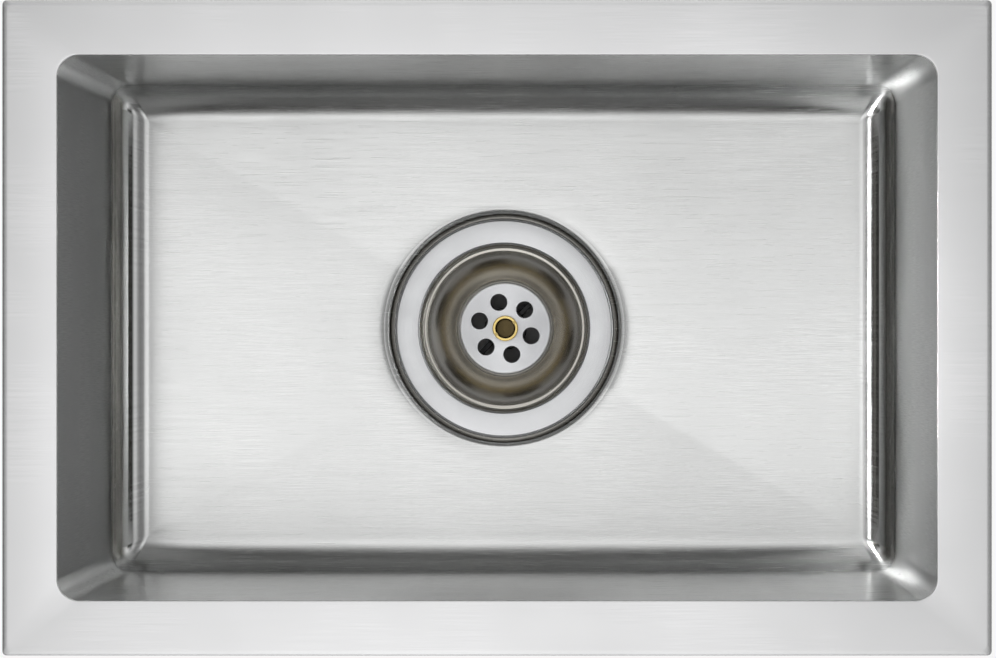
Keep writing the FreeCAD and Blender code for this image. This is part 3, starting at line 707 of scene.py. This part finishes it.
def grey(level):
    """A grey level, where 255 is white and more is brighter, as a ramp's colour. Dark parts of the studio
    are a little warm."""
    share = level / 255
    light = ((share + 0.055) / 1.055) ** 2.4 if share > 0.04 else share / 12.92
    tint = (1.0, 0.97, 0.88) if level < 100 else (1.0, 1.0, 1.0)
    return tuple(light / brightest * part for part in tint) + (1,)


def lean_ramp(where, stops):
    """Light as a ramp of the lean from overhead, in degrees."""
    return start.put("ValToRGB", {"stops": [(0.5 + lean / 180, grey(level)) for lean, level in stops]},
                     {0: where})


# Overhead, the studio is the product of a row of strips across the bowl's length and one across its width.
along_x = lean_ramp(lean_x, [
    (-90, 50), (-54, 40), (-50, 84), (-46, 80), (-42, 40), (-36, 60), (-32, 140), (-28, 150), (-25, 130),
    (-22, 40), (-18, 60), (-14, 200), (-11.5, 120), (-9.3, 228), (-4.4, 249), (-2.2, 243), (1, 238),
    (2.5, 220), (7, 235), (9, 155), (13, 130), (22, 112), (30, 135), (36, 178), (42, 180), (47, 122),
    (50, 40), (90, 50)])
along_y = lean_ramp(lean_y, [
    (-90, 36), (-45, 36), (-26, 50), (-22, 150), (-19, 205), (-16, 262), (-9, 250), (-5, 215), (0, 235),
    (3, 230), (6, 195), (9, 165), (12, 172), (15, 200), (18, 240), (23, 258), (27, 230), (31, 185),
    (37, 180), (41, 120), (46, 45), (90, 36)])
sky = start.put("VectorMath", {"operation": "MULTIPLY"}, {0: along_x, 1: along_y})
# Low down, the studio's corners and its horizon are lit, so that the outside of the steel has something
# to show.
around = way_x * way_x + way_y * way_y + 0.0001
diagonal = ((way_x * way_y).maths("ABSOLUTE") * 2.0 / around).step(0.25, 0.6)
corners = diagonal * (1 - way_z.step(0.40, 0.70)) * corner_light
low = corners.maths("MAXIMUM", (1 - way_z.step(0.10, 0.20)) * horizon_light)
low_sky = start.put("VectorMath", {"operation": "SCALE"}, {0: (1.0, 1.0, 1.0), "Scale": low})
sky = start.put("VectorMath", {"operation": "MAXIMUM"}, {0: sky, 1: low_sky})
sky_light = start.put("Background", (), {"Color": sky, "Strength": sky_level * brightest ** 2})
white = start.put("Background", (), {"Color": (1, 1, 1, 1), "Strength": 1.0})
camera_ray = start.put("LightPath", (), (), out=0)
both = start.put("MixShader", (), {0: camera_ray, 1: sky_light, 2: white})
start.put("OutputWorld", (), {"Surface": both})


def soft_light(name, place, aim, width, height, radiance):
    """A rectangular studio light of even radiance, at a place and turned towards a point."""
    data = bpy.data.lights.new(name, "AREA")
    data.shape, data.size, data.size_y = "RECTANGLE", width, height
    data.energy = radiance * math.pi * width * height
    light = bpy.data.objects.new(name, data)
    bpy.context.scene.collection.objects.link(light)
    light.location = place
    light.rotation_euler = (Vector(aim) - Vector(place)).to_track_quat("-Z", "Y").to_euler()
    light.visible_camera = False
    return data


lean_left, lean_out, grid_angle = math.radians(32), math.radians(28), math.radians(7)
wall_lamp_size, wall_lamp_reach, wall_lamp_radiance = 0.14, 0.7, 4.2
for part, side in (("front", -1), ("back", 1)):
    beam = Vector((-math.tan(lean_left), side * math.tan(lean_out), 1)).normalized()
    aim = Vector((bowl_half_length, side * -0.03, -0.12))
    place = aim + beam * wall_lamp_reach
    lamp = soft_light("light_wall_" + part, place, aim, wall_lamp_size, wall_lamp_size, wall_lamp_radiance)
    lamp.spread = grid_angle
low_lamp_reach, low_lamp_z, low_lamp_height, low_lamp_radiance = 1.2, -0.14, 0.24, 0.5
for part, x, y, width in (("left", -1, 0, 1.4), ("right", 1, 0, 1.4),
                          ("front", 0, -1, 1.6), ("back", 0, 1, 1.6)):
    place = (x * low_lamp_reach, y * low_lamp_reach, low_lamp_z)
    soft_light("light_" + part, place, (0, 0, low_lamp_z), width, low_lamp_height, low_lamp_radiance)

bpy.context.scene.view_settings.view_transform = "Standard"
